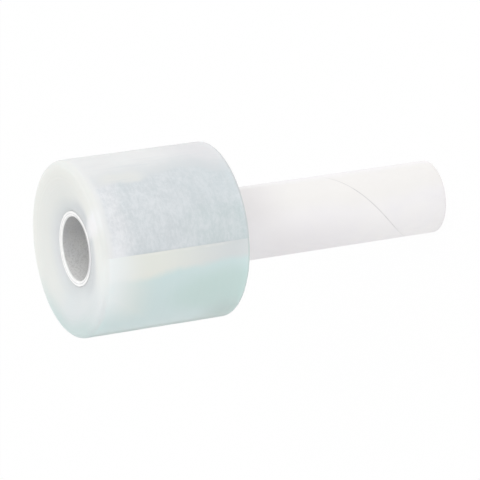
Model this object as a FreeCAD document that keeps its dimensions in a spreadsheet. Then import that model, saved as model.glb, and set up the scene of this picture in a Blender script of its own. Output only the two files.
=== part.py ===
import FreeCAD, Part
import math
import os
import Sketcher

# Stretch wrap roll: clear film wound on a long paper tube, whose bare end is the handle.
# The roll stands on the handle's cut end, with the film at the top.
# Origin: centre of the handle's cut end. +Z: the axis of the roll, from handle to film.
# The film's loose tail ends near the -Y side. Millimetres and degrees throughout.

doc = FreeCAD.newDocument("StretchWrapRoll")
sheet = doc.addObject("Spreadsheet::Sheet", "Sizes")

drivingSizes = [
    ("coreBore", 38.1, "inside diameter of the paper tube"),
    ("coreWall", 3.175, "wall of the tube, several plies glued together"),
    ("coreLength", 238.0, "whole tube, the handle and the stretch under the film"),
    ("lipBevel", 0.8, "bevelled inner edge at each cut end"),
    ("plyLineInset", 1.3, "line between two plies on a cut end, from the outside"),
    ("plyLineWidth", 0.35, "width of that line"),
    ("plyLineDepth", 0.3, "depth of that line"),
    ("seamPitch", 125.0, "rise of the white outer ply's butt seam in one turn"),
    ("seamHeight", 80.0, "height at which the seam crosses the +X side"),
    ("seamWidth", 0.7, "width of the seam along the axis"),
    ("seamDepth", 0.2, "depth of the seam"),
    ("filmDiameter", 105.0, "diameter of the wound film"),
    ("filmWidth", 93.5, "width of the wound film, from face to crown"),
    ("filmProud", 5.1, "how far the film's crown stands past the tube's cut end"),
    ("crownRound", 4.0, "rounded shoulder at the open end"),
    ("backBevel", 1.6, "bevelled rim on the handle's side"),
    ("dishDepth", 5.5, "how far the open face falls from its crown to the tube"),
    ("backDish", 1.2, "how far the handle's face falls from its rim to the tube"),
    ("turnBands", 11, "bands of turns that can be told apart on an end face"),
    ("turnWander", 0.16, "how far the turns wander in and out from band to band"),
    ("tailLift", 0.3, "height of the loose tail's cut edge over the turn below"),
    ("tailRoot", 0.1, "depth at which the tail leaves the turn below"),
    ("tailDepth", 1.0, "how deep the tail's solid reaches into the turns below its edge"),
    ("tailEdge", -96.0, "angle of the tail's cut edge, from +X towards +Y"),
    ("tailStart", -36.0, "angle at which the tail starts to lift"),
]

# Sizes that follow from the driving ones
boreRadius = "Sizes.coreBore / 2"
coreRadius = f"({boreRadius} + Sizes.coreWall)"
filmRadius = "Sizes.filmDiameter / 2"
filmFront = "(Sizes.coreLength + Sizes.filmProud)"
filmBack = f"({filmFront} - Sizes.filmWidth)"
wanderPhase = 2.4  # radians that the wander advances from one band of turns to the next


def fillSheet():
    """One row for each driving size: its name, its value and what it is."""
    for row, (name, size, note) in enumerate(drivingSizes, start=1):
        sheet.set(f"A{row}", name)
        sheet.set(f"B{row}", str(size))
        sheet.set(f"C{row}", note)
        sheet.setAlias(f"B{row}", name)
    doc.recompute()


def value(expression):
    """The number that an expression in the driving sizes stands for."""
    return float(sheet.evalExpression(expression))


def newBody(label):
    body = doc.addObject("PartDesign::Body", label)
    body.Label = label
    body.Placement = FreeCAD.Placement()
    return body


def newSketch(body, name, role):
    """An empty sketch on one of the body's own origin planes."""
    sketch = body.newObject("Sketcher::SketchObject", name)
    plane = [item for item in body.Origin.OriginFeatures if item.Role == role][0]
    sketch.AttachmentSupport = (plane, [""])
    sketch.MapMode = "FlatFace"
    return sketch


def bind(sketch, name, *constraint):
    """Adds a constraint whose last item is an expression, and ties it to that expression."""
    expression = constraint[-1]
    index = sketch.addConstraint(Sketcher.Constraint(*constraint[:-1], value(expression)))
    sketch.renameConstraint(index, name)
    sketch.setExpression(f"Constraints.{name}", expression)


def roundEdge(start, end, radius):
    """The short arc from start to end that bulges to the right of its chord."""
    chord = end - start
    middle = (start + end) / 2
    height = math.sqrt(radius ** 2 - (chord.Length / 2) ** 2)
    inward = FreeCAD.Vector(-chord.y, chord.x, 0).normalize()
    centre = middle + inward * height
    first = math.atan2(start.y - centre.y, start.x - centre.x)
    last = math.atan2(end.y - centre.y, end.x - centre.x)
    if last < first:
        last += 2 * math.pi
    return Part.ArcOfCircle(Part.Circle(centre, FreeCAD.Vector(0, 0, 1), radius), first, last)


def drawOutline(sketch, corners, prefix="c"):
    """Closed outline, counter-clockwise. A corner is across, up and, where the edge
    that leaves it is round, that edge's radius."""
    points = [FreeCAD.Vector(value(corner[0]), value(corner[1]), 0) for corner in corners]
    firstEdge = sketch.GeometryCount
    for index, corner in enumerate(corners):
        start = points[index]
        end = points[(index + 1) % len(points)]
        if len(corner) == 3:
            edge = roundEdge(start, end, value(corner[2]))
        else:
            edge = Part.LineSegment(start, end)
        sketch.addGeometry(edge, False)
    for index, corner in enumerate(corners):
        edge = firstEdge + index
        following = firstEdge + (index + 1) % len(corners)
        sketch.addConstraint(Sketcher.Constraint("Coincident", edge, 2, following, 1))
        bind(sketch, f"{prefix}{index}across", "DistanceX", -1, 1, edge, 1, corner[0])
        bind(sketch, f"{prefix}{index}up", "DistanceY", -1, 1, edge, 1, corner[1])
        if len(corner) == 3:
            bind(sketch, f"{prefix}{index}radius", "Radius", edge, corner[2])


def turnAboutAxis(body, kind, name, sketch):
    """A full turn of the sketch about the roll's axis, as a revolved solid or a groove."""
    feature = body.newObject(kind, name)
    feature.Profile = sketch
    feature.ReferenceAxis = (sketch, ["V_Axis"])
    feature.Angle = 360
    return feature


def tubeSection(body):
    """Wall of the paper tube with both inner edges bevelled by the cutting blade."""
    sketch = newSketch(body, "TubeSection", "XZ_Plane")
    lipRadius = f"{boreRadius} + Sizes.lipBevel"
    drawOutline(sketch, [
        (lipRadius, "0"),
        (coreRadius, "0"),
        (coreRadius, "Sizes.coreLength"),
        (lipRadius, "Sizes.coreLength"),
        (boreRadius, "Sizes.coreLength - Sizes.lipBevel"),
        (boreRadius, "Sizes.lipBevel"),
    ])
    return sketch


def plyLines(body):
    """The fine dark line between two plies, cut into each end of the wall."""
    sketch = newSketch(body, "PlyLines", "XZ_Plane")
    outside = f"{coreRadius} - Sizes.plyLineInset"
    inside = f"{outside} - Sizes.plyLineWidth"
    for prefix, bottom, top in (
        ("foot", "0", "Sizes.plyLineDepth"),
        ("head", "Sizes.coreLength - Sizes.plyLineDepth", "Sizes.coreLength"),
    ):
        corners = [(inside, bottom), (outside, bottom), (outside, top), (inside, top)]
        drawOutline(sketch, corners, prefix)
    return sketch


def seamNotch(body):
    """Cross-section of the outer ply's butt seam, one turn below where it meets the +X side."""
    sketch = newSketch(body, "SeamNotch", "XZ_Plane")
    middle = "Sizes.seamHeight - Sizes.seamPitch"
    outside = f"{coreRadius} + Sizes.seamDepth"
    drawOutline(sketch, [
        (f"{coreRadius} - Sizes.seamDepth", middle),
        (outside, f"{middle} - Sizes.seamWidth"),
        (outside, f"{middle} + Sizes.seamWidth"),
    ])
    return sketch


def buildCoreTube():
    """Spiral-wound paper tube: one piece, because its plies are glued."""
    body = newBody("core_tube")
    turnAboutAxis(body, "PartDesign::Revolution", "TubeWall", tubeSection(body))
    turnAboutAxis(body, "PartDesign::Groove", "PlyGroove", plyLines(body))
    notch = seamNotch(body)
    seam = body.newObject("PartDesign::SubtractiveHelix", "Seam")
    seam.Profile = notch
    seam.ReferenceAxis = (notch, ["V_Axis"])
    seam.Mode = "pitch-height-angle"
    seam.setExpression("Pitch", "Sizes.seamPitch")
    seam.setExpression("Height", "Sizes.coreLength + Sizes.seamPitch")
    return body


def faceBands(edgeRadius, rimHeight, dish):
    """Corners of one end face from the tube to its edge. The face is dished, and its bands
    of turns wander in and out of the dish, because the film wandered as it was wound."""
    count = int(value("Sizes.turnBands"))
    corners = []
    for line in range(count + 1):
        wander = math.sin(wanderPhase * line) if line < count else 0.0
        share = f"({line} / {count})"
        radius = f"{coreRadius} + ({edgeRadius} - {coreRadius}) * {share}"
        height = f"{rimHeight} - {dish} * (1 - {share})^2 + {wander:.3f} * Sizes.turnWander"
        corners.append((radius, height))
    return corners


def filmSection(body):
    """Half section of the wound film: bore, two dished faces, bevelled rim, round shoulder."""
    sketch = newSketch(body, "FilmSection", "XZ_Plane")
    corners = faceBands(f"({filmRadius} - Sizes.backBevel)", filmBack, "-Sizes.backDish")
    corners.append((filmRadius, f"{filmBack} + Sizes.backBevel"))
    corners.append((filmRadius, f"{filmFront} - Sizes.crownRound", "Sizes.crownRound"))
    corners += faceBands(f"({filmRadius} - Sizes.crownRound)", filmFront, "Sizes.dishDepth")[::-1]
    drawOutline(sketch, corners)
    return sketch


def tailSection(body):
    """Cross-section of the loose tail, rooted in the turn below, up to its cut edge."""
    sketch = newSketch(body, "TailSection", "XY_Plane")
    sketch.setExpression(".AttachmentOffset.Base.z", f"{filmBack} + Sizes.backBevel")
    edgeOutside = f"({filmRadius} + Sizes.tailLift)"
    edgeInside = f"({filmRadius} - Sizes.tailDepth)"
    startOutside = f"({filmRadius} - Sizes.tailRoot)"
    corners = [
        (f"{edgeInside} * cos(Sizes.tailEdge)", f"{edgeInside} * sin(Sizes.tailEdge)"),
        (f"{edgeOutside} * cos(Sizes.tailEdge)", f"{edgeOutside} * sin(Sizes.tailEdge)", filmRadius),
        (f"{startOutside} * cos(Sizes.tailStart)", f"{startOutside} * sin(Sizes.tailStart)"),
    ]
    drawOutline(sketch, corners)
    return sketch


def buildFilmRoll():
    """Several hundred turns of clinging film: one solid, tight on the tube."""
    body = newBody("film_roll")
    turnAboutAxis(body, "PartDesign::Revolution", "WoundTurns", filmSection(body))
    tail = body.newObject("PartDesign::Pad", "LooseTail")
    tail.Profile = tailSection(body)
    tail.setExpression("Length", "Sizes.filmWidth - Sizes.backBevel - Sizes.crownRound")
    return body


def checkModel(bodies):
    """Stops on a failed feature, a bad solid, or a cut or addition that changed nothing."""
    for item in doc.Objects:
        if "Invalid" in item.State or "Error" in item.State:
            raise RuntimeError(f"{item.Name} failed: {item.State}")
    for body in bodies:
        shape = body.Shape
        if shape.isNull() or not shape.isValid() or len(shape.Solids) != 1:
            raise RuntimeError(f"{body.Label} is not one valid solid")
    for earlier, later in (("TubeWall", "PlyGroove"), ("PlyGroove", "Seam"), ("WoundTurns", "LooseTail")):
        change = doc.getObject(later).Shape.Volume - doc.getObject(earlier).Shape.Volume
        print(f"{later} changes the volume by {change:.1f} mm3")
        if abs(change) < 1.0:
            raise RuntimeError(f"{later} changed nothing")


def writeParts(bodies):
    os.makedirs("parts", exist_ok=True)
    for body in bodies:
        body.Shape.exportStep(f"parts/{body.Label}.step")
        print(f"{body.Label}: volume {body.Shape.Volume / 1000:.1f} cm3,"
              f" centre of mass at z {body.Shape.Solids[0].CenterOfMass.z:.2f}")


fillSheet()
bodies = [buildCoreTube(), buildFilmRoll()]
doc.recompute()
checkModel(bodies)
writeParts(bodies)
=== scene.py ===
import math

import bmesh
import bpy
from mathutils import Matrix, Vector, noise


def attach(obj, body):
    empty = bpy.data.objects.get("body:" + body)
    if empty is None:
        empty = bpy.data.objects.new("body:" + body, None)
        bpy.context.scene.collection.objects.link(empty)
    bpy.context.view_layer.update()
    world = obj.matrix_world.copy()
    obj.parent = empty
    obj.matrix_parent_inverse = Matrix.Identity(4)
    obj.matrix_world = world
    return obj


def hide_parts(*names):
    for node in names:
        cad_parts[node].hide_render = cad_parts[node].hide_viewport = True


# Stretch wrap roll: clear film wound on a white paper tube, whose bare end is the handle.
# The axis of the roll is +Z, the handle's cut end stands on the floor at z = 0.
# Angles are in degrees: 0 at +X, 90 at -Y, which faces the camera, 180 at -X.

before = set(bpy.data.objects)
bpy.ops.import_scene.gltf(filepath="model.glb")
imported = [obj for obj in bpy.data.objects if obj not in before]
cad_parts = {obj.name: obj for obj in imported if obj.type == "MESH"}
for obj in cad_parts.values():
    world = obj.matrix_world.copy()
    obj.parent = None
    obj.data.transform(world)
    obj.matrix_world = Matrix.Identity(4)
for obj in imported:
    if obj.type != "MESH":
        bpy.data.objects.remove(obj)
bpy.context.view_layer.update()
mm = 0.001
scene = bpy.context.scene
print("frame loaded:", ", ".join(sorted(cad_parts)))

tailEdge = 96.0                            # angle of the film's cut edge
seamRun = {"pitch": 125.0, "height": 80.0}   # outer ply's seam: mm a turn, mm up at angle 0


# camera: long lens, rolled so that the roll lies across the picture
shot = {
    "lens": 236.8,
    "place": (0.1022, -1.6963, 0.9523),
    "turn": (-17.182, 62.915, -105.392),
    "farthest": 50,                        # metres
}
cameraData = bpy.data.cameras.new("camera")
cameraData.lens = shot["lens"]
cameraData.clip_end = shot["farthest"]
camera = bpy.data.objects.new("camera", cameraData)
camera.location = shot["place"]
camera.rotation_euler = [math.radians(angle) for angle in shot["turn"]]
scene.collection.objects.link(camera)
scene.camera = camera


def tint(red, green, blue):
    # screen colour 0-255 to the linear colour that a socket takes
    levels = [level / 255 for level in (red, green, blue)]
    linear = [v / 12.92 if v < 0.04045 else ((v + 0.055) / 1.055) ** 2.4 for v in levels]
    return (*linear, 1.0)


def addNode(tree, kind, sockets=None, **settings):
    node = tree.nodes.new("ShaderNode" + kind)
    for name, setting in settings.items():
        setattr(node, name, setting)
    for name, source in (sockets or {}).items():
        if isinstance(source, bpy.types.NodeSocket):
            tree.links.new(source, node.inputs[name])
        else:
            node.inputs[name].default_value = source
    return node


def calc(tree, operation, *values):
    return addNode(tree, "Math", dict(enumerate(values)), operation=operation).outputs[0]


def product(tree, first, *others):
    for other in others:
        first = calc(tree, "MULTIPLY", first, other)
    return first


def total(tree, first, *others):
    for other in others:
        first = calc(tree, "ADD", first, other)
    return first


def weighted(tree, *pairs):
    # sum of values, each with its share
    return total(tree, *[product(tree, value, share) for value, share in pairs])


def fade(tree, value, low, high, atLow=0.0, atHigh=1.0):
    # smooth step from one level to the other, flat outside
    sockets = {"Value": value, "From Min": low, "From Max": high,
               "To Min": atLow, "To Max": atHigh}
    return addNode(tree, "MapRange", sockets, interpolation_type="SMOOTHSTEP").outputs["Result"]


def band(tree, value, rise, fall):
    # in over one range, out over the other
    return product(tree, fade(tree, value, *rise), fade(tree, value, *fall))


def overTurn(tree, value, rise, fall):
    # from one range of angles, on past 180 and -180 degrees, to the other
    return calc(tree, "MAXIMUM", fade(tree, value, *rise), fade(tree, value, *fall))


def awayFrom(tree, value, middle):
    return calc(tree, "ABSOLUTE", calc(tree, "SUBTRACT", value, middle))


def blendColour(tree, amount, first, second):
    return addNode(tree, "Mix", {0: amount, 6: first, 7: second}, data_type="RGBA").outputs[2]


def blendValue(tree, amount, first, second):
    return addNode(tree, "Mix", {0: amount, 2: first, 3: second}).outputs[0]


def noiseValue(tree, place, scale, detail=2.0, roughness=0.5, distortion=0.0):
    sockets = {"Vector": place, "Scale": scale, "Detail": detail, "Roughness": roughness,
               "Distortion": distortion}
    return addNode(tree, "TexNoise", sockets).outputs["Fac"]


def stretched(tree, place, scale):
    return addNode(tree, "Mapping", {"Vector": place, "Scale": scale}).outputs[0]


def newGroup(name, inputs, outputs):
    group = bpy.data.node_groups.new(name, "ShaderNodeTree")
    for label, kind in inputs:
        group.interface.new_socket(label, in_out="INPUT", socket_type="NodeSocket" + kind)
    for label, kind in outputs:
        group.interface.new_socket(label, in_out="OUTPUT", socket_type="NodeSocket" + kind)
    return group, group.nodes.new("NodeGroupInput"), group.nodes.new("NodeGroupOutput")


def emptyTree(owner):
    owner.use_nodes = True
    owner.node_tree.nodes.clear()
    return owner.node_tree


def newMaterial(name):
    material = bpy.data.materials.new(name)
    tree = emptyTree(material)
    place = addNode(tree, "TexCoord").outputs["Object"]
    shader = addNode(tree, "BsdfPrincipled")
    addNode(tree, "OutputMaterial", {"Surface": shader.outputs[0]})
    return material, tree, place, shader


def addRelief(tree, shader, height, strength, depth):
    sockets = {"Strength": strength, "Distance": depth * mm, "Height": height}
    bump = addNode(tree, "Bump", sockets)
    tree.links.new(bump.outputs[0], shader.inputs["Normal"])


# effects that several materials share
effectLook = {
    "cloudShares": (0.7, 0.3),       # broad and fine
    "cloudRange": (0.35, 0.65),
    "broadCloud": (3.0, 0.55, 0.3),  # detail, roughness, distortion
    "fineCloud": (3.0, 0.6),
    "fineTimes": 4.3,                # finer than the broad clouds
    "lineShares": (0.6, 0.4),        # lines and bands
    "line": (5.0, 0.7),
    "bandTimes": 0.17,
}


def makeRollPlace():
    # where a point is on the roll: radius and height in mm, angle in degrees
    group, source, result = newGroup(
        "rollPlace", [("Place", "Vector")],
        [("Radius", "Float"), ("Angle", "Float"), ("Height", "Float")])
    x, y, z = addNode(group, "SeparateXYZ", {0: source.outputs[0]}).outputs
    squares = total(group, product(group, x, x), product(group, y, y))
    angle = calc(group, "ARCTAN2", product(group, y, -1.0), x)
    places = {"Radius": product(group, calc(group, "SQRT", squares), 1 / mm),
              "Angle": calc(group, "DEGREES", angle),
              "Height": product(group, z, 1 / mm)}
    for name, value in places.items():
        group.links.new(value, result.inputs[name])
    return group


def makeCloudyTone():
    # two tones in soft clouds, with a finer cloud over them
    group, source, result = newGroup(
        "cloudyTone",
        [("Place", "Vector"), ("Scale", "Float"), ("Tone", "Color"), ("Cloud", "Color")],
        [("Color", "Color")])
    place, scale, tone, cloud = source.outputs[:4]
    look = effectLook
    broad = noiseValue(group, place, scale, *look["broadCloud"])
    fine = noiseValue(group, place, product(group, scale, look["fineTimes"]), *look["fineCloud"])
    clouds = weighted(group, *zip((broad, fine), look["cloudShares"]))
    clouds = fade(group, clouds, *look["cloudRange"])
    group.links.new(blendColour(group, clouds, tone, cloud), result.inputs["Color"])
    return group


def makeFineLines():
    # fine uneven lines: the place comes in already stretched along them
    group, source, result = newGroup(
        "fineLines", [("Place", "Vector"), ("Scale", "Float")], [("Value", "Float")])
    place, scale = source.outputs[:2]
    look = effectLook
    lines = noiseValue(group, place, scale, *look["line"])
    bands = noiseValue(group, place, product(group, scale, look["bandTimes"]))
    value = weighted(group, *zip((lines, bands), look["lineShares"]))
    group.links.new(value, result.inputs["Value"])
    return group


rollPlace = makeRollPlace()
cloudyTone = makeCloudyTone()
fineLines = makeFineLines()
print("shared effects ready")


def rollSpot(tree, place, *names):
    # radius, angle or height of a point, as named
    outputs = addNode(tree, "Group", {"Place": place}, node_tree=rollPlace).outputs
    return [outputs[name] for name in names]


def cloudy(tree, place, scale, tone, cloud):
    sockets = {"Place": place, "Scale": scale, "Tone": tone, "Cloud": cloud}
    return addNode(tree, "Group", sockets, node_tree=cloudyTone).outputs["Color"]


def linesAt(tree, place, scale):
    sockets = {"Place": place, "Scale": scale}
    return addNode(tree, "Group", sockets, node_tree=fineLines).outputs["Value"]


# film: milky, clinging, blue-grey where air is trapped, and teal over the lower side, its own
# tint painted darker there as shade.
# A range is low, high and, unless they are 0 and 1, the levels at both; "Up" is in mm above
# the floor, "Round" in degrees, "Out" in mm from the axis, and a pair of ranges goes in and
# out. A noise is scale, detail, roughness, distortion.
filmLook = {
    "wander": (45.0, 3.0),                   # makes every border uneven
    "wanderRound": 10.0,
    "wanderOut": 5.0,
    # smooth outside turns
    "clear": tint(228, 229, 229),
    "clearCloud": tint(225, 226, 226),
    "clearScale": 42.0,
    "clearBack": tint(221, 221, 223),
    "clearBackUp": (162.0, 196.0, 1.0, 0.0),
    "farSideRound": (-60.0, -5.0),
    # air trapped below the last turn: blotches of 2 to 4 mm, streaks along the winding
    "blotches": (470.0, 5.0, 0.72, 0.3),
    "blotchStretch": (0.7, 0.7, 1.0),
    "streaks": 900.0,
    "streakStretch": (0.12, 0.12, 1.0),
    "drifts": (95.0, 2.0),
    "airShares": (0.5, 0.25, 0.25),
    "airRange": (0.385, 0.635),
    "airUp": (160.0, 215.0, 0.52, 0.7),
    "air": tint(226, 229, 232),
    "airFront": tint(236, 237, 239),
    "haze": tint(204, 210, 213),
    "hazeBack": tint(202, 210, 213),
    "hazeBackUp": (155.0, 200.0),
    "hazeFront": tint(213, 216, 219),
    "frontUp": (222.0, 230.0),
    "frontWander": 14.0,
    "hazeTeal": tint(195, 206, 207),
    "hazeTealUp": (168.0, 200.0, 0.7, 0.0),
    "hazeTealRound": (62.0, 80.0),
    "hazeRound": (29.0, 44.0, 0.0, 0.55),
    "trappedRound": (43.0, 49.0),
    "trappedShare": 0.45,
    "hazeWander": 11.0,
    "hazeSlantUp": (172.0, 225.0, 5.5, -1.0),   # degrees by which its edge leans
    "hazeTuckUp": (158.0, 172.0, -7.0, 0.0),
    "hazeEndUp": (235.5, 239.0, 1.0, 0.0),
    "besideCutRound": (84.0, 93.0, 0.0, 0.55),
    # above it: a cream patch, and wrinkles along the axis
    "patch": tint(225, 226, 222),
    "patchRound": ((36.0, 42.0), (44.5, 48.0, 0.55, 0.0)),
    "patchUp": ((200.0, 213.0), (226.0, 238.0, 1.0, 0.0)),
    "patchHides": 0.5,
    "wrinkle": tint(212, 216, 219),
    "wrinkleLines": 520.0,
    "wrinkleStretch": (1.0, 1.0, 0.07),
    "wrinkleRange": (0.47, 0.62),
    "wrinkleRound": ((16.0, 28.0), (46.0, 58.0, 0.42, 0.12)),
    "wrinkleUp": (236.0, 239.0, 1.0, 0.0),
    # cream strip below the tail's cut edge
    "cream": tint(227, 229, 223),
    "creamBack": tint(214, 218, 219),
    "creamBackUp": (158.0, 212.0),
    "creamFront": tint(234, 237, 237),
    "creamFrontUp": (214.0, 238.0),
    "cutSoft": 0.15,
    # the cut edge: a thin dark line with a pale one below it, stronger in the middle
    "cutUp": ((156.0, 166.0), (212.0, 228.0, 1.0, 0.0)),
    "cutNoise": (120.0, 3.0),
    "cutUneven": (0.4, 0.6, 0.35, 1.0),
    "cutDark": tint(190, 196, 200),
    "cutDarkRound": ((-1.7, -0.5), (0.0, 0.3, 0.5, 0.0)),
    "cutPale": tint(236, 237, 234),
    "cutPaleRound": ((0.0, 0.4), (1.0, 2.4, 0.5, 0.0)),
    # teal: the film's own tint, painted darker as shade from the strip to the far side
    "teal": tint(207, 223, 223),
    "tealRound": (103.0, 110.0),
    "tealSlantUp": (160.0, 236.0, 0.0, -6.0),
    "tealUp": (205.0, 238.0, 1.0, 0.15),
    "tealAllRound": (118.0, 152.0),
    "tealEndRound": (-160.0, -105.0, 1.0, 0.0),
    "tealDeep": tint(200, 219, 216),
    "deepRange": (0.1, 1.3, 1.0, 0.0),
    "deepRound": (130.0, 19.0),              # middle and reach
    "deepUp": (168.0, 34.0),
    "tealLow": tint(190, 207, 204),
    "tealLowUp": (158.0, 182.0, 1.0, 0.0),
    "tealLowRound": ((134.0, 152.0), (158.0, 178.0, 1.0, 0.0)),
    # painted shade: dark lines where the film darkens at its edges, at the rim on the handle's
    # side and along the roll's lowest side
    "tealEdgeShade": tint(176, 192, 188),
    "greyEdgeShade": tint(186, 189, 191),
    "lineTealRound": (92.0, 108.0),
    "rimUp": (150.4, 151.8, 1.0, 0.0),
    "rimRound": (102.0, 112.0, 0.85, 0.6),
    "lowest": 166.0,
    "lowestRound": ((-7.0, 0.0), (2.0, 16.0, 0.7, 0.0)),
    # end faces: a blue-grey halo of painted shade round the tube, cream towards the rim, teal
    # low down, painted darker as shade
    "face": tint(224, 226, 223),
    "faceLow": tint(216, 221, 222),
    "faceLowRound": ((100.0, 135.0), (-170.0, -120.0, 1.0, 0.0)),
    "haloShade": tint(212, 217, 218),
    "haloOut": (22.5, 33.0),
    "haloShadeDeep": tint(202, 206, 208),
    "haloWide": 10.5,                        # mm wider towards the tail
    "haloWideFrom": 88.0,
    "haloWideRound": (32.0, 80.0, 10.5, 0.0),
    "haloShadePale": tint(218, 221, 223),
    "haloPaleFrom": -85.0,
    "haloPaleRound": (30.0, 70.0, 0.8, 0.0),
    "faceCream": tint(226, 227, 223),
    "faceCreamOut": (34.0, 46.0),
    "faceCreamRound": ((-150.0, -100.0), (70.0, 120.0, 1.0, 0.0)),
    "faceTeal": tint(198, 212, 211),
    "faceTealOut": (36.0, 49.0),
    "faceTealRound": ((132.0, 168.0), (-150.0, -95.0, 1.0, 0.0)),
    "faceGlint": tint(234, 234, 235),             # painted highlight: a white radial streak on the face, where the key light's gloss falls
    "faceGlintOut": (22.0, 46.0, 0.65, 1.0),
    "faceGlintRound": ((57.0, 67.0), (73.0, 84.0, 1.0, 0.0)),
    # painted shade on the upper shoulder, against the key light's bright bead
    "shoulder": tint(217, 219, 217),
    "shoulderShadeOut": (48.6, 50.6),
    "shoulderShadeRound": (90.0, 105.0, 0.5, 0.0),
    "creamRimOut": (40.0, 51.0),
    "creamRimRound": ((88.0, 104.0), (115.0, 140.0, 0.35, 0.0)),
    # where the outside begins, at the shoulder and at the rim
    "sideUp": (238.8, 241.4, 1.0, 0.0),
    "sideOut": (46.0, 48.0),
    "backUp": (149.9, 151.0),
    "backOut": (51.0, 52.2),
    # gloss, depth and relief
    "turnLines": 3.2,
    "turnStretch": 0.25,
    "turnRelief": 0.5,
    "streakRelief": 0.25,
    "airRelief": 0.35,
    "relief": (0.5, 0.2),                    # strength and depth in mm
    "roughness": (0.36, 0.46),               # clear, and with air
    "brushed": 0.5,                          # gloss drawn out across the turns
    "ior": 1.5,
    "subsurface": 0.6,
    "scatter": 0.009,
    "scatterRadius": (0.9, 1.0, 1.0),
}


def filmAir(tree, spot, streaks):
    look = filmLook
    blotches = noiseValue(tree, stretched(tree, spot["place"], look["blotchStretch"]),
                          *look["blotches"])
    drifts = noiseValue(tree, spot["place"], *look["drifts"])
    air = weighted(tree, *zip((blotches, streaks, drifts), look["airShares"]))
    return fade(tree, air, *look["airRange"])


def filmHaze(tree, spot, air):
    # tone of the trapped air, and how much of it a point shows
    look = filmLook
    angle, height, softAngle = spot["angle"], spot["height"], spot["softAngle"]
    front = total(tree, height, product(tree, spot["wander"], look["frontWander"]))
    front = fade(tree, front, *look["frontUp"])
    tone = blendColour(tree, fade(tree, height, *look["hazeBackUp"]),
                       look["hazeBack"], look["haze"])
    tone = blendColour(tree, front, tone, look["hazeFront"])
    airTone = blendColour(tree, front, look["air"], look["airFront"])
    edge = total(tree, angle, product(tree, spot["wander"], look["hazeWander"]),
                 fade(tree, height, *look["hazeSlantUp"]),
                 fade(tree, height, *look["hazeTuckUp"]))
    trapped = fade(tree, edge, *look["trappedRound"])
    teal = product(tree, fade(tree, height, *look["hazeTealUp"]),
                   fade(tree, softAngle, *look["hazeTealRound"]))
    tone = blendColour(tree, teal, tone, look["hazeTeal"])
    airShare = product(tree, air, trapped, fade(tree, height, *look["airUp"]))
    tone = blendColour(tree, airShare, tone, airTone)
    besideCut = product(tree, front, fade(tree, softAngle, *look["besideCutRound"]))
    tone = blendColour(tree, besideCut, tone, look["airFront"])
    amount = total(tree, fade(tree, edge, *look["hazeRound"]),
                   product(tree, trapped, look["trappedShare"]))
    aboveCut = calc(tree, "SUBTRACT", 1.0, spot["belowTail"])
    return tone, product(tree, amount, aboveCut, fade(tree, height, *look["hazeEndUp"]))


def filmTeal(tree, spot):
    # tone of the teal, painted darker as shade over the lower side, and how much of it a point
    # shows
    look = filmLook
    height, softAngle = spot["height"], spot["softAngle"]
    slanted = total(tree, softAngle, fade(tree, height, *look["tealSlantUp"]))
    reach = calc(tree, "MAXIMUM", fade(tree, height, *look["tealUp"]),
                 fade(tree, softAngle, *look["tealAllRound"]))
    amount = product(tree, fade(tree, slanted, *look["tealRound"]), reach)
    amount = calc(tree, "MAXIMUM", amount, fade(tree, softAngle, *look["tealEndRound"]))
    # painted shade: darker teal in a patch low down towards the back, and in a band lower still
    squares = []
    for value, (middle, size) in ((softAngle, look["deepRound"]), (height, look["deepUp"])):
        share = calc(tree, "DIVIDE", calc(tree, "SUBTRACT", value, middle), size)
        squares.append(product(tree, share, share))
    deep = fade(tree, total(tree, *squares), *look["deepRange"])
    tone = blendColour(tree, deep, look["teal"], look["tealDeep"])
    low = product(tree, fade(tree, height, *look["tealLowUp"]),
                  band(tree, softAngle, *look["tealLowRound"]))
    return blendColour(tree, low, tone, look["tealLow"]), amount


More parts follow.
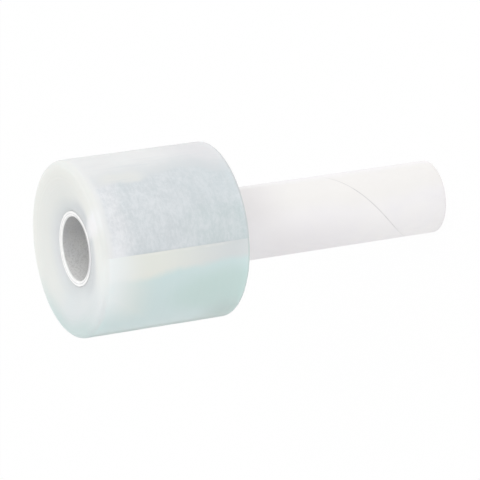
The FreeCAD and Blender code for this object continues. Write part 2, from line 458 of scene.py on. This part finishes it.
def filmOutside(tree, spot, air):
    look = filmLook
    place, angle, height, softAngle = (spot[name] for name in (
        "place", "angle", "height", "softAngle"))
    clear = cloudy(tree, place, look["clearScale"], look["clear"], look["clearCloud"])
    clear = blendColour(tree, fade(tree, height, *look["clearBackUp"]), clear, look["clearBack"])

    haze, hazeAmount = filmHaze(tree, spot, air)
    patch = product(tree, band(tree, softAngle, *look["patchRound"]),
                    band(tree, height, *look["patchUp"]))
    hidden = product(tree, patch, look["patchHides"])
    hazeAmount = product(tree, hazeAmount, calc(tree, "SUBTRACT", 1.0, hidden))
    colour = blendColour(tree, hazeAmount, clear, haze)
    colour = blendColour(tree, patch, colour, look["patch"])
    wrinkles = linesAt(tree, stretched(tree, place, look["wrinkleStretch"]),
                       look["wrinkleLines"])
    wrinkles = product(tree, band(tree, softAngle, *look["wrinkleRound"]),
                       fade(tree, height, *look["wrinkleUp"]),
                       fade(tree, wrinkles, *look["wrinkleRange"]))
    colour = blendColour(tree, wrinkles, colour, look["wrinkle"])

    cream = blendColour(tree, fade(tree, height, *look["creamBackUp"]),
                        look["creamBack"], look["cream"])
    cream = blendColour(tree, fade(tree, height, *look["creamFrontUp"]),
                        cream, look["creamFront"])
    colour = blendColour(tree, spot["belowTail"], colour, cream)
    pastCut = calc(tree, "SUBTRACT", angle, tailEdge)
    uneven = fade(tree, noiseValue(tree, place, *look["cutNoise"]), *look["cutUneven"])
    seen = product(tree, band(tree, height, *look["cutUp"]), uneven)
    for line in ("cutDark", "cutPale"):
        amount = product(tree, band(tree, pastCut, *look[line + "Round"]), seen)
        colour = blendColour(tree, amount, colour, look[line])
    colour = blendColour(tree, fade(tree, softAngle, *look["farSideRound"]), clear, colour)

    teal, tealAmount = filmTeal(tree, spot)
    colour = blendColour(tree, tealAmount, colour, teal)
    # painted shade along the back rim and the lowest side
    rimEdgeShade = product(tree, fade(tree, height, *look["rimUp"]),
                      fade(tree, spot["eitherSide"], *look["rimRound"]))
    pastLowest = calc(tree, "WRAP", calc(tree, "SUBTRACT", angle, look["lowest"]), 180.0, -180.0)
    lowEdgeShade = band(tree, pastLowest, *look["lowestRound"])
    edgeShadeTone = blendColour(tree, fade(tree, spot["eitherSide"], *look["lineTealRound"]),
                           look["greyEdgeShade"], look["tealEdgeShade"])
    colour = blendColour(tree, calc(tree, "MAXIMUM", rimEdgeShade, lowEdgeShade), colour, edgeShadeTone)
    return colour, hazeAmount


def filmFace(tree, spot):
    look = filmLook
    softAngle = spot["softAngle"]
    softRadius = total(tree, spot["radius"], product(tree, spot["wander"], look["wanderOut"]))
    # painted shade: the face's lower part greyer and teal
    colour = blendColour(tree, overTurn(tree, softAngle, *look["faceLowRound"]),
                         look["face"], look["faceLow"])
    # painted shade in the dip round the tube, wider and deeper towards the tail, paler on the
    # far side
    wider = fade(tree, awayFrom(tree, softAngle, look["haloWideFrom"]), *look["haloWideRound"])
    haloShade = blendColour(tree, calc(tree, "DIVIDE", wider, look["haloWide"]),
                       look["haloShade"], look["haloShadeDeep"])
    paler = fade(tree, awayFrom(tree, softAngle, look["haloPaleFrom"]), *look["haloPaleRound"])
    haloShade = blendColour(tree, paler, haloShade, look["haloShadePale"])
    pastHalo = fade(tree, calc(tree, "SUBTRACT", softRadius, wider), *look["haloOut"])
    colour = blendColour(tree, pastHalo, haloShade, colour)

    cream = product(tree, fade(tree, softRadius, *look["faceCreamOut"]),
                    band(tree, softAngle, *look["faceCreamRound"]))
    colour = blendColour(tree, cream, colour, look["faceCream"])
    # painted shade: the film's teal, darker at the rim low down
    teal = product(tree, overTurn(tree, softAngle, *look["faceTealRound"]),
                   fade(tree, softRadius, *look["faceTealOut"]))
    colour = blendColour(tree, teal, colour, look["faceTeal"])
    # painted highlight: the white radial streak on the face
    faceGlint = product(tree, band(tree, softAngle, *look["faceGlintRound"]),
                   fade(tree, softRadius, *look["faceGlintOut"]))
    colour = blendColour(tree, faceGlint, colour, look["faceGlint"])
    # painted shade on the upper shoulder
    shoulder = product(tree, fade(tree, spot["radius"], *look["shoulderShadeOut"]),
                       fade(tree, spot["eitherSide"], *look["shoulderShadeRound"]))
    colour = blendColour(tree, shoulder, colour, look["shoulder"])
    creamRim = product(tree, band(tree, softAngle, *look["creamRimRound"]),
                       fade(tree, softRadius, *look["creamRimOut"]))
    return blendColour(tree, creamRim, colour, look["creamFront"])


def makeFilmMaterial():
    look = filmLook
    material, tree, place, shader = newMaterial("milkyFilm")
    radius, angle, height = rollSpot(tree, place, "Radius", "Angle", "Height")
    # the noise lies round 0.5, the wander round 0
    wander = calc(tree, "SUBTRACT", noiseValue(tree, place, *look["wander"]), 0.5)
    spot = {
        "place": place, "radius": radius, "angle": angle, "height": height, "wander": wander,
        "softAngle": total(tree, angle, product(tree, wander, look["wanderRound"])),
        "eitherSide": calc(tree, "ABSOLUTE", angle),
        "belowTail": fade(tree, angle, tailEdge - look["cutSoft"], tailEdge + look["cutSoft"]),
    }
    streaks = linesAt(tree, stretched(tree, place, look["streakStretch"]), look["streaks"])
    air = filmAir(tree, spot, streaks)
    outside, hazeAmount = filmOutside(tree, spot, air)
    face = filmFace(tree, spot)
    past = calc(tree, "MAXIMUM", fade(tree, height, *look["backUp"]),
                fade(tree, radius, *look["backOut"]))
    onSide = product(tree, fade(tree, height, *look["sideUp"]),
                     fade(tree, radius, *look["sideOut"]), past)
    tree.links.new(blendColour(tree, onSide, face, outside), shader.inputs["Base Color"])

    # relief: winding lines outside, edges of the turns on the faces, air pockets
    radians = calc(tree, "RADIANS", angle)
    circle = [product(tree, calc(tree, side, radians), look["turnStretch"])
              for side in ("COSINE", "SINE")]
    turnPlace = addNode(tree, "CombineXYZ", {"X": radius, "Y": circle[0], "Z": circle[1]})
    turnLines = linesAt(tree, turnPlace.outputs[0], look["turnLines"])
    pockets = product(tree, air, hazeAmount)
    sideRelief = weighted(tree, (streaks, look["streakRelief"]), (pockets, look["airRelief"]))
    relief = blendValue(tree, onSide, product(tree, turnLines, look["turnRelief"]), sideRelief)
    addRelief(tree, shader, relief, *look["relief"])
    tree.links.new(fade(tree, pockets, 0.0, 1.0, *look["roughness"]), shader.inputs["Roughness"])
    shader.subsurface_method = "RANDOM_WALK"
    shader.inputs["Subsurface Weight"].default_value = look["subsurface"]
    shader.inputs["Subsurface Scale"].default_value = look["scatter"]
    shader.inputs["Subsurface Radius"].default_value = look["scatterRadius"]
    shader.inputs["IOR"].default_value = look["ior"]
    shader.inputs["Anisotropic"].default_value = look["brushed"]
    acrossTurns = addNode(tree, "Tangent", direction_type="RADIAL", axis="Z").outputs[0]
    tree.links.new(acrossTurns, shader.inputs["Tangent"])
    return material


# paper: white outer ply, pale cut ends, grey board inside; ranges and noises as for the film
paperLook = {
    "white": tint(242, 240, 240),
    "whiteCloud": tint(239, 237, 239),
    "whiteScale": 26.0,
    "wander": (22.0, 2.0),
    "wanderRound": 30.0,
    "warm": tint(237, 235, 232),
    "warmRound": ((24.0, 48.0), (76.0, 108.0, 0.75, 0.0)),
    "shaded": tint(231, 228, 230),           # painted shade: a little greyer on the lower side, and beside the film
    "shadedRound": (60.0, 130.0),
    "shadedUp": (30.0, 115.0, 0.0, 0.7),
    "shadedEndUp": (112.0, 132.0, 1.0, 0.4),
    "besideUp": (96.0, 128.0, 0.0, 0.6),
    "besideRound": ((8.0, 30.0), (70.0, 115.0, 1.0, 0.0)),
    # painted light: the lower side lighter towards the bare end
    "endLight": tint(252, 251, 250),
    "endLightRound": (95.0, 140.0),
    "endLightUp": (5.0, 40.0, 0.3, 0.0),
    "seam": tint(210, 208, 209),
    "seamAway": (0.2, 0.55, 1.0, 0.0),       # mm from the seam
    # painted light: the seam fainter on the lit top side; it is also fainter low down
    "seamShownRound": ((5.0, 50.0), (112.0, 145.0, 1.0, 0.3)),
    "seamNoise": (160.0, 2.0),
    "seamUneven": (0.3, 0.7, 0.55, 1.0),
    "fibres": 2600.0,
    "fibreStretch": (1.0, 1.0, 0.6),
    "fibreRelief": (0.35, 0.08),
    "fibreRange": (0.3, 0.7),
    "roughness": (0.62, 0.78),
    # cut ends
    "edge": tint(254, 254, 253),
    "edgeCloud": tint(244, 244, 243),
    "edgeScale": 260.0,
    "edgeShade": tint(234, 234, 236),        # painted shade: the ring is a little greyer on one side
    "edgeShadeRound": ((72.0, 95.0), (118.0, 140.0, 1.0, 0.0)),
    "plyLine": tint(226, 226, 226),
    "plyLineOut": 20.9,
    "plyLineAway": (0.12, 0.42, 1.0, 0.0),
    "plyNoise": 90.0,
    "plyWander": 0.3,
    "plies": 6.0,
    "plyRelief": (0.4, 0.15),
    "edgeRoughness": (0.7, 0.85),
    "lip": tint(168, 168, 170),              # painted shade: the inner lip greyer at one side of the bore
    "lipRound": ((5.0, 60.0), (85.0, 165.0, 1.0, 0.0)),
    "lipOut": (19.8, 21.2, 0.9, 0.0),
    # board
    "board": tint(210, 211, 213),
    "boardCloud": tint(218, 218, 216),
    "boardScale": 120.0,
    # painted light on the bore's lower wall and deeper in, painted shade on its upper wall
    "boardLit": tint(238, 238, 237),
    "boardLitRound": (60.0, 150.0, 0.0, 0.9),
    "boardLitUp": (222.0, 233.0, 0.3, 0.0),
    "boardShade": tint(186, 186, 188),
    "boardShadeRound": ((-90.0, -50.0, 0.0, 0.45), (5.0, 40.0, 1.0, 0.0)),
    "speck": tint(178, 177, 175),
    "specks": (800.0, 4.0, 0.75),
    "speckRange": (0.46, 0.66),
    "speckShare": 0.4,
    "spiralLines": 18.0,
    "spiralRange": (0.42, 0.62),
    "spiralShare": 0.14,
    "boardFibres": 1800.0,
    "boardRelief": (0.5, 0.12),
    "boardRoughness": (0.75, 0.9),
}


def finishPaper(tree, shader, colour, fibres, relief, roughness):
    tree.links.new(colour, shader.inputs["Base Color"])
    addRelief(tree, shader, fibres, *relief)
    rough = fade(tree, fibres, *paperLook["fibreRange"], *roughness)
    tree.links.new(rough, shader.inputs["Roughness"])


def seamDistance(tree, angle, height):
    # mm along the axis to the nearest turn of the outer ply's seam
    half = seamRun["pitch"] / 2
    turned = product(tree, angle, -seamRun["pitch"] / 360.0)
    above = calc(tree, "SUBTRACT", calc(tree, "SUBTRACT", height, seamRun["height"]), turned)
    return calc(tree, "ABSOLUTE", calc(tree, "WRAP", above, half, -half))


def makePaperMaterial():
    look = paperLook
    material, tree, place, shader = newMaterial("whitePaper")
    angle, height = rollSpot(tree, place, "Angle", "Height")
    eitherSide = calc(tree, "ABSOLUTE", angle)
    colour = cloudy(tree, place, look["whiteScale"], look["white"], look["whiteCloud"])
    wander = product(tree, noiseValue(tree, place, *look["wander"]), look["wanderRound"])
    warm = band(tree, total(tree, angle, wander), *look["warmRound"])
    colour = blendColour(tree, warm, colour, look["warm"])
    # painted shade on the lower side, and beside the film
    below = product(tree, fade(tree, eitherSide, *look["shadedRound"]),
                    fade(tree, height, *look["shadedUp"]),
                    fade(tree, height, *look["shadedEndUp"]))
    colour = blendColour(tree, below, colour, look["shaded"])
    beside = product(tree, fade(tree, height, *look["besideUp"]),
                     band(tree, eitherSide, *look["besideRound"]))
    colour = blendColour(tree, beside, colour, look["shaded"])
    # painted light: the lower side lighter towards the bare end
    endLight = product(tree, fade(tree, eitherSide, *look["endLightRound"]),
                    fade(tree, height, *look["endLightUp"]))
    colour = blendColour(tree, endLight, colour, look["endLight"])
    uneven = fade(tree, noiseValue(tree, place, *look["seamNoise"]), *look["seamUneven"])
    # the seam fades on the lit top side, as painted light
    seam = product(tree, fade(tree, seamDistance(tree, angle, height), *look["seamAway"]),
                   uneven, band(tree, eitherSide, *look["seamShownRound"]))
    colour = blendColour(tree, seam, colour, look["seam"])
    fibres = linesAt(tree, stretched(tree, place, look["fibreStretch"]), look["fibres"])
    finishPaper(tree, shader, colour, fibres, look["fibreRelief"], look["roughness"])
    return material


def makeEdgeMaterial():
    look = paperLook
    material, tree, place, shader = newMaterial("cutPaperEdge")
    radius, angle = rollSpot(tree, place, "Radius", "Angle")
    colour = cloudy(tree, place, look["edgeScale"], look["edge"], look["edgeCloud"])
    shade = band(tree, angle, *look["edgeShadeRound"])
    colour = blendColour(tree, shade, colour, look["edgeShade"])
    wander = product(tree, noiseValue(tree, place, look["plyNoise"]), look["plyWander"])
    gap = awayFrom(tree, total(tree, radius, wander), look["plyLineOut"])
    colour = blendColour(tree, fade(tree, gap, *look["plyLineAway"]), colour, look["plyLine"])
    # painted shade on the inner lip at one side of the bore
    lip = product(tree, band(tree, angle, *look["lipRound"]),
                  fade(tree, radius, *look["lipOut"]))
    colour = blendColour(tree, lip, colour, look["lip"])
    plies = linesAt(tree, addNode(tree, "CombineXYZ", {"X": radius}).outputs[0], look["plies"])
    finishPaper(tree, shader, colour, plies, look["plyRelief"], look["edgeRoughness"])
    return material


def makeBoardMaterial():
    look = paperLook
    material, tree, place, shader = newMaterial("greyBoard")
    angle, height = rollSpot(tree, place, "Angle", "Height")
    colour = cloudy(tree, place, look["boardScale"], look["board"], look["boardCloud"])
    # painted light: the board lighter on the lower wall of the bore
    pale = fade(tree, calc(tree, "ABSOLUTE", angle), *look["boardLitRound"])
    colour = blendColour(tree, pale, colour, look["boardLit"])
    # faint lines along the plies: the turn past the spiral, as a circle so that it closes
    turned = total(tree, angle, product(tree, height, 360.0 / seamRun["pitch"]))
    radians = calc(tree, "RADIANS", turned)
    circle = addNode(tree, "CombineXYZ", {"X": calc(tree, "COSINE", radians),
                                          "Y": calc(tree, "SINE", radians)}).outputs[0]
    lines = fade(tree, linesAt(tree, circle, look["spiralLines"]), *look["spiralRange"])
    colour = blendColour(tree, product(tree, lines, look["spiralShare"]), colour, look["speck"])
    # painted light deeper in the bore
    colour = blendColour(tree, fade(tree, height, *look["boardLitUp"]),
                         colour, look["boardLit"])
    # painted shade on the upper wall of the bore
    colour = blendColour(tree, band(tree, angle, *look["boardShadeRound"]),
                         colour, look["boardShade"])
    specks = fade(tree, noiseValue(tree, place, *look["specks"]), *look["speckRange"])
    colour = blendColour(tree, product(tree, specks, look["speckShare"]), colour, look["speck"])
    fibres = linesAt(tree, place, look["boardFibres"])
    finishPaper(tree, shader, colour, fibres, look["boardRelief"], look["boardRoughness"])
    return material


filmMaterial = makeFilmMaterial()
paperMaterials = [makePaperMaterial(), makeEdgeMaterial(), makeBoardMaterial()]
print("materials ready")


mergeWithin = 0.000001   # metres
onPlace = 0.01           # mm or degrees within which a point counts as on a line
fullTurn = 2 * math.pi
parts = 8                # walls are made as an eighth of their run, then doubled three times


def finishPiece(bm, name, materials, node):
    bmesh.ops.remove_doubles(bm, verts=bm.verts, dist=mergeWithin)
    bmesh.ops.recalc_face_normals(bm, faces=bm.faces)
    for face in bm.faces:
        face.smooth = True
    mesh = bpy.data.meshes.new(name)
    bm.to_mesh(mesh)
    bm.free()
    for material in materials:
        mesh.materials.append(material)
    piece = bpy.data.objects.new(name, mesh)
    scene.collection.objects.link(piece)
    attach(piece, "root")
    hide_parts(node)
    print(name, "made,", len(mesh.polygons), "faces")
    return piece


def only(items, kind):
    return [item for item in items if isinstance(item, kind)]


def turnBy(bm, verts, turn):
    bmesh.ops.rotate(bm, verts=verts, cent=(0, 0, 0), matrix=Matrix.Rotation(turn, 3, "Z"))


def doubled(bm, strip, turn, rise, last=()):
    # copies a strip on from its own end until it has all its parts; gives its last edges
    for times in (1, 2, 4):
        copy = bmesh.ops.duplicate(bm, geom=strip)
        verts = only(copy["geom"], bmesh.types.BMVert)
        turnBy(bm, verts, turn * times)
        bmesh.ops.translate(bm, verts=verts, vec=(0, 0, rise * times))
        last = [copy["edge_map"][edge] for edge in last]
        strip = strip + copy["geom"]
    return last


# in mm; a layer of noise is its fineness, its place beside the line and its share
filmShape = {
    "bore": 22.24,
    "radius": 52.5,
    "back": 149.6,
    "front": 243.1,
    "shoulder": (4.0, 10),   # radius and segments
    "rim": (1.6, 4),
    "dish": 5.5,
    "backDish": 1.2,
    "steps": 360,
    "faceCuts": 76,
    "sideCuts": 58,
    "ridge": 0.05,           # how far single bands of turns stand out on the faces
    "ridgeNoise": ((0.9, 3.1, 1.0), (2.7, 8.4, 0.6)),
    "ridgeEnd": 4,           # ridges fade over a quarter of the face
    "bandWave": 0.07,        # bands round the outside, where the film wandered
    "bandNoise": ((0.16, 1.7, 1.0), (0.7, 5.2, 0.5)),
    "bandEnd": 3,
    "softWave": 0.08,
    "softNoise": 0.045,
    "tailStart": 36.0,       # degrees
    "tailLift": 0.30,
    "tailRoot": 0.10,
    "tailEnd": 1.2,
    "pocket": 0.05,
    "pocketNoise": 0.35,
    "cutWidth": 0.05,        # degrees
    "sharpLength": 0.3,      # shorter edges cross the cut
}


def unevenAt(value, axis, layers):
    # layered noise along one axis
    level = 0.0
    for fineness, beside, share in layers:
        spot = Vector((0, beside, 0))
        spot[axis] = value * fineness
        level += share * noise.noise(spot)
    return level


def insideOf(up, low, high, within):
    # 0 at the ends of the outside and 1 from a little further in
    return max(0, min(1, (up - low) / within, (high - up) / within))


def angleOf(point):
    return math.atan2(-point.y, point.x)


def extendTo(bm, vertex, across, up):
    # next corner of the half section
    made = bmesh.ops.extrude_vert_indiv(bm, verts=[vertex])
    made["verts"][0].co = Vector((across, 0, up)) * mm
    return made["verts"][0], made["edges"][0]


def roundTo(bm, vertex, across, up, segments):
    # quarter round about the given centre
    made = bmesh.ops.spin(bm, geom=[vertex], cent=Vector((across, 0, up)) * mm,
                          axis=(0, 1, 0), angle=-math.pi / 2, steps=segments)
    return only(made["geom_last"], bmesh.types.BMVert)[0]


def makeFilmRoll():
    shape = filmShape
    bm = bmesh.new()
    bore, radius, front, back = (shape[name] for name in ("bore", "radius", "front", "back"))
    rim, rimSegments = shape["rim"]
    shoulder, shoulderSegments = shape["shoulder"]
    low, high = back + rim, front - shoulder
    start = bm.verts.new(Vector((bore, 0, back)) * mm)
    corner, backFace = extendTo(bm, start, radius - rim, back)
    corner = roundTo(bm, corner, radius - rim, low, rimSegments)
    corner, side = extendTo(bm, corner, radius, high)
    corner = roundTo(bm, corner, radius - shoulder, high, shoulderSegments)
    corner, openFace = extendTo(bm, corner, bore, front)
    bm.edges.new((corner, start))
    bmesh.ops.subdivide_edges(bm, edges=[backFace, openFace], cuts=shape["faceCuts"])
    bmesh.ops.subdivide_edges(bm, edges=[side], cuts=shape["sideCuts"])

    # dish both faces and let their turns wander
    faces = ((front, radius - shoulder, -shape["dish"]), (back, radius - rim, shape["backDish"]))
    for vertex in bm.verts:
        across, up = vertex.co.x / mm, vertex.co.z / mm
        ridge = unevenAt(across, 0, shape["ridgeNoise"]) * shape["ridge"]
        for plane, edge, dish in faces:
            if abs(vertex.co.z / mm - plane) < onPlace:
                inner = 1 - (across - bore) / (edge - bore)
                up += dish * inner ** 2 + ridge * min(1, shape["ridgeEnd"] * inner)
        vertex.co.z = up * mm

    # an eighth of a turn, doubled until it closes
    bmesh.ops.spin(bm, geom=bm.verts[:] + bm.edges[:], cent=(0, 0, 0), axis=(0, 0, 1),
                   angle=fullTurn / parts, steps=shape["steps"] // parts)
    doubled(bm, bm.verts[:] + bm.edges[:] + bm.faces[:], fullTurn / parts, 0)
    bmesh.ops.remove_doubles(bm, verts=bm.verts, dist=mergeWithin)

    # outside: soft bands, then the loose tail up to its cut edge
    column = 360 / shape["steps"]
    for vertex in bm.verts:
        across = math.hypot(vertex.co.x, vertex.co.y) / mm
        up = vertex.co.z / mm
        angle = math.degrees(angleOf(vertex.co))
        lift = 0.0
        if across > radius - onPlace:
            bands = unevenAt(up, 2, shape["bandNoise"]) * shape["bandWave"]
            soft = noise.noise(vertex.co / mm * shape["softNoise"]) * shape["softWave"]
            lift += (bands + soft) * insideOf(up, low, high, shape["bandEnd"])
            if shape["tailStart"] < angle < tailEdge + onPlace:
                share = (angle - shape["tailStart"]) / (tailEdge - shape["tailStart"])
                rise = (shape["tailLift"] + shape["tailRoot"]) * share - shape["tailRoot"]
                pocket = noise.noise(vertex.co / mm * shape["pocketNoise"]) * shape["pocket"]
                tail = max(0, rise) + pocket * share
                lift += tail * insideOf(up, low, high, shape["tailEnd"])
        if 0.5 * column < angle - tailEdge < 1.5 * column:
            angle = tailEdge + shape["cutWidth"]   # the turn below starts at the cut edge
        angle = math.radians(angle)
        out = (across + lift) * mm
        vertex.co = Vector((out * math.cos(angle), -out * math.sin(angle), vertex.co.z))

    # the cut edge stays sharp
    cutAngle, near = math.radians(tailEdge), math.radians(2 * shape["cutWidth"])
    for edge in bm.edges:
        alongCut = all(abs(angleOf(vertex.co) - cutAngle) < near for vertex in edge.verts)
        if alongCut and edge.calc_length() > shape["sharpLength"] * mm:
            if min(vertex.co.xy.length for vertex in edge.verts) > (radius - 1) * mm:
                edge.smooth = False
    return finishPiece(bm, "filmWinding", [filmMaterial], "film_roll")


tubeShape = {
    "bore": 19.05,
    "radius": 22.225,
    "length": 238.0,
    "rounding": (0.12, 0.2),   # in and up, at the outer rims
    "lip": 0.8,
    "lipRound": (0.25, 0.35),  # out and in, where the lip meets the bore
    "plyOut": 20.925,
    "plyIn": 20.575,
    "plyDeep": 0.14,
    "columns": 132,
    "seamHalf": 0.9,           # degrees each side of a seam
    "seamDeep": 0.14,
    "innerSeam": 150.0,        # degrees from the outer ply's seam to the inner ply's
    "sharpAngle": 32,          # degrees between faces that meet in a sharp edge
}
outerPly, cutEnd, innerBoard = range(3)   # the order of the tube's materials


def makePaperTube():
    shape = tubeShape
    bm = bmesh.new()
    columns, length, bore = shape["columns"], shape["length"], shape["bore"]
    stepTurn = fullTurn / columns
    stepUp = seamRun["pitch"] / columns
    innerColumn = round(shape["innerSeam"] / 360 * columns)
    onColumn = 0.05   # columns
    state = {"turn": 0.0}

    def columnsPast(vertex, seam):
        turn = (math.atan2(vertex.co.y, vertex.co.x) - state["turn"]) / stepTurn
        return (turn - seam + columns / 2) % columns - columns / 2

    def ringVerts():
        return list({vertex for edge in state["edges"] for vertex in edge.verts})

    def roundRing(radius, seam=0, deep=0):
        # every column back on the circle, but the seam's own column in or out of it
        for vertex in ringVerts():
            out = radius - deep if abs(columnsPast(vertex, seam)) < onColumn else radius
            vertex.co.xy = vertex.co.xy.normalized() * out * mm

    def nextRing(material, rise):
        # a ring drawn out of the last one
        made = bmesh.ops.extrude_edge_only(bm, edges=state["edges"])["geom"]
        fresh = set(only(made, bmesh.types.BMVert))
        state["edges"] = [edge for edge in only(made, bmesh.types.BMEdge)
                          if fresh.issuperset(edge.verts)]
        for face in only(made, bmesh.types.BMFace):
            face.material_index = material
        bmesh.ops.translate(bm, verts=ringVerts(), vec=(0, 0, rise * mm))

    def wall(material, rise):
        # straight wall that follows the spiral, about one column of turn at a time
        count = round(abs(rise) / stepUp / parts)
        turn = rise / seamRun["pitch"] * fullTurn
        old = set(bm.faces)
        made = bmesh.ops.spin(bm, geom=ringVerts() + state["edges"], cent=(0, 0, 0),
                              axis=(0, 0, 1), dvec=(0, 0, rise * mm / parts / count),
                              angle=turn / parts, steps=count)["geom_last"]
        faces = [face for face in bm.faces if face not in old]
        for face in faces:
            face.material_index = material
        strip = list({item for face in faces for item in (*face.verts, *face.edges)}) + faces
        last = only(made, bmesh.types.BMEdge)
        state["edges"] = doubled(bm, strip, turn / parts, rise * mm / parts, last)
        state["turn"] += turn

    def ends(*steps):
        for radius, rise in steps:
            nextRing(cutEnd, rise)
            roundRing(radius)

    ring = bmesh.ops.create_circle(bm, segments=columns, radius=shape["radius"] * mm)["verts"]
    state["edges"] = firstEdges = bm.edges[:]
    # narrow the columns beside each seam
    for vertex in ring:
        for seam in (0, innerColumn):
            past = columnsPast(vertex, seam)
            if abs(abs(past) - 1) < onColumn:
                change = math.copysign(math.radians(shape["seamHalf"]) - stepTurn, past)
                vertex.co.rotate(Matrix.Rotation(change, 3, "Z"))

    state["turn"] = -seamRun["height"] / seamRun["pitch"] * fullTurn
    turnBy(bm, ring, state["turn"])
    lip, out = bore + shape["lip"], shape["radius"]
    roundIn, roundUp = shape["rounding"]
    lipOut, lipIn = shape["lipRound"]
    plyOut, plyIn, plyDeep = shape["plyOut"], shape["plyIn"], shape["plyDeep"]
    roundRing(out - roundIn)
    nextRing(outerPly, roundUp)
    roundRing(out, 0, shape["seamDeep"])
    wall(outerPly, length - 2 * roundUp)
    ends((out - roundIn, roundUp), (plyOut, 0), (plyOut, -plyDeep), (plyIn, 0),
         (plyIn, plyDeep), (lip, 0), (bore + lipOut, -lipIn), (bore, lipIn - shape["lip"]))
    roundRing(bore, innerColumn, -shape["seamDeep"])
    wall(innerBoard, 2 * shape["lip"] - length)
    ends((bore + lipOut, lipIn - shape["lip"]), (lip, -lipIn), (plyIn, 0),
         (plyIn, plyDeep), (plyOut, 0), (plyOut, -plyDeep))
    bridge = bmesh.ops.bridge_loops(bm, edges=state["edges"] + firstEdges)
    for face in bridge["faces"]:
        face.material_index = cutEnd
    sharp = math.radians(shape["sharpAngle"])
    for edge in bm.edges:
        if len(edge.link_faces) == 2 and edge.calc_face_angle() > sharp:
            edge.smooth = False
    return finishPiece(bm, "paperTube", paperMaterials, "core_tube")


makeFilmRoll()
makePaperTube()


studio = {
    "floorSize": 6.0,
    "floorTone": tint(248, 248, 248),
    "white": (1, 1, 1, 1),
    "whiteShare": 0.95,
    "fill": 1.0,
    "fillSlope": 0.19,      # a little brighter from the +X side
    "keyFrom": (0.42, -0.55, 0.72),
    "keyAt": (0, 0, 0.17),
    "keyDistance": 1.6,
    "keySize": 0.7,
    "keyPower": 2.2,
}


def seenStraight(tree):
    # 1 where the camera, a reflection or a clear thing sees it, 0 where it only gives light
    seen = addNode(tree, "LightPath").outputs
    shiny = calc(tree, "MAXIMUM", seen["Is Glossy Ray"], seen["Is Transmission Ray"])
    return calc(tree, "MAXIMUM", seen["Is Camera Ray"], shiny)


def makeFloor():
    bm = bmesh.new()
    bmesh.ops.create_grid(bm, x_segments=1, y_segments=1, size=studio["floorSize"])
    mesh = bpy.data.meshes.new("floor")
    bm.to_mesh(mesh)
    bm.free()
    floor = bpy.data.objects.new("floor", mesh)
    scene.collection.objects.link(floor)
    material = bpy.data.materials.new("paleFloor")
    tree = emptyTree(material)
    matte = addNode(tree, "BsdfDiffuse", {"Color": studio["floorTone"]}).outputs[0]
    white = addNode(tree, "Emission", {"Color": studio["white"], "Strength": 1.0}).outputs[0]
    share = product(tree, seenStraight(tree), studio["whiteShare"])
    mix = addNode(tree, "MixShader", {0: share, 1: matte, 2: white}).outputs[0]
    addNode(tree, "OutputMaterial", {"Surface": mix})
    mesh.materials.append(material)


def makeWorld():
    world = bpy.data.worlds.new("studio")
    tree = emptyTree(world)
    direction = addNode(tree, "TexCoord").outputs["Generated"]
    across = addNode(tree, "SeparateXYZ", {0: direction}).outputs["X"]
    fill = calc(tree, "MULTIPLY_ADD", across, studio["fillSlope"], studio["fill"])
    strength = blendValue(tree, seenStraight(tree), fill, 1.0)
    light = addNode(tree, "Background", {"Color": studio["white"], "Strength": strength})
    addNode(tree, "OutputWorld", {"Surface": light.outputs[0]})
    scene.world = world


def addKeyLamp():
    lampData = bpy.data.lights.new("key", "AREA")
    lampData.shape = "DISK"
    lampData.size = studio["keySize"]
    lampData.energy = studio["keyPower"]
    lamp = bpy.data.objects.new("key", lampData)
    toward = Vector(studio["keyFrom"]).normalized()
    lamp.location = Vector(studio["keyAt"]) + toward * studio["keyDistance"]
    lamp.rotation_euler = toward.to_track_quat("Z", "Y").to_euler()
    scene.collection.objects.link(lamp)


makeFloor()
makeWorld()
addKeyLamp()
scene.view_settings.view_transform = "Standard"
print("studio ready")
